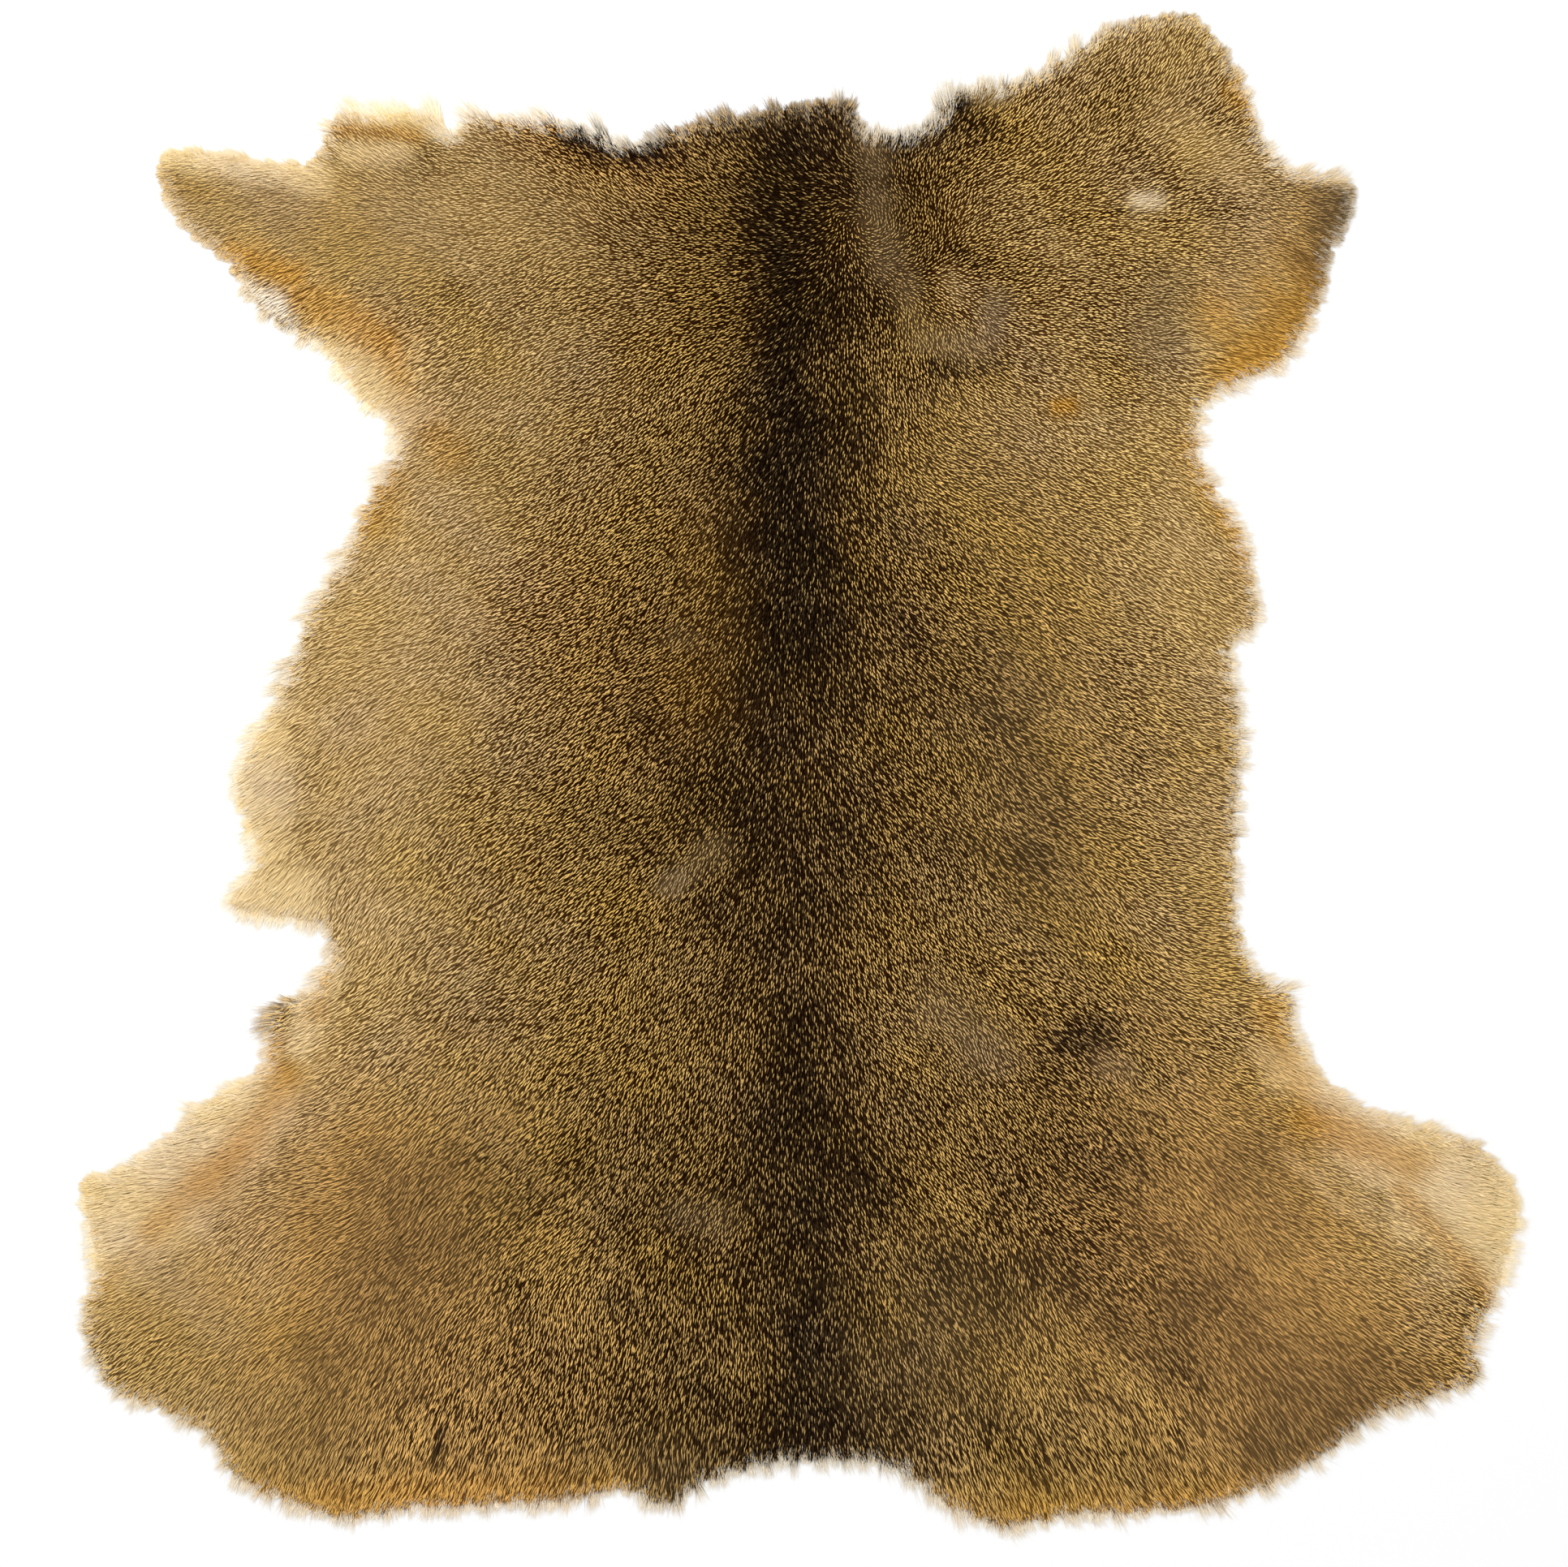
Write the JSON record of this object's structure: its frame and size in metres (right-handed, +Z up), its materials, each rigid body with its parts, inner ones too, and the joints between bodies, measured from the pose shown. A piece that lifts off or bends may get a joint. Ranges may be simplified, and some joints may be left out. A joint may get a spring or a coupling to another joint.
{
  "type": "deerhide rug",
  "caption": "Whole red deer hide with its hair on, used as a rug: neck, leg flaps and rump in outline, lying flat with the hair side up.",
  "frame": {"origin": "on the floor, under the middle of the hide's box", "axes": "+Y towards the neck along the spine, +X to the right seen from above with the neck away, +Z up out of the hair"},
  "size_m": [1.1443, 1.1986, 0.015],
  "materials": {
    "hair": "hollow winter guard hair, tan with dark roots, near black along the spine, cream on belly and legs"
  },
  "bodies": {
    "root": {"hide": "hair"}
  },
  "joints": []
}
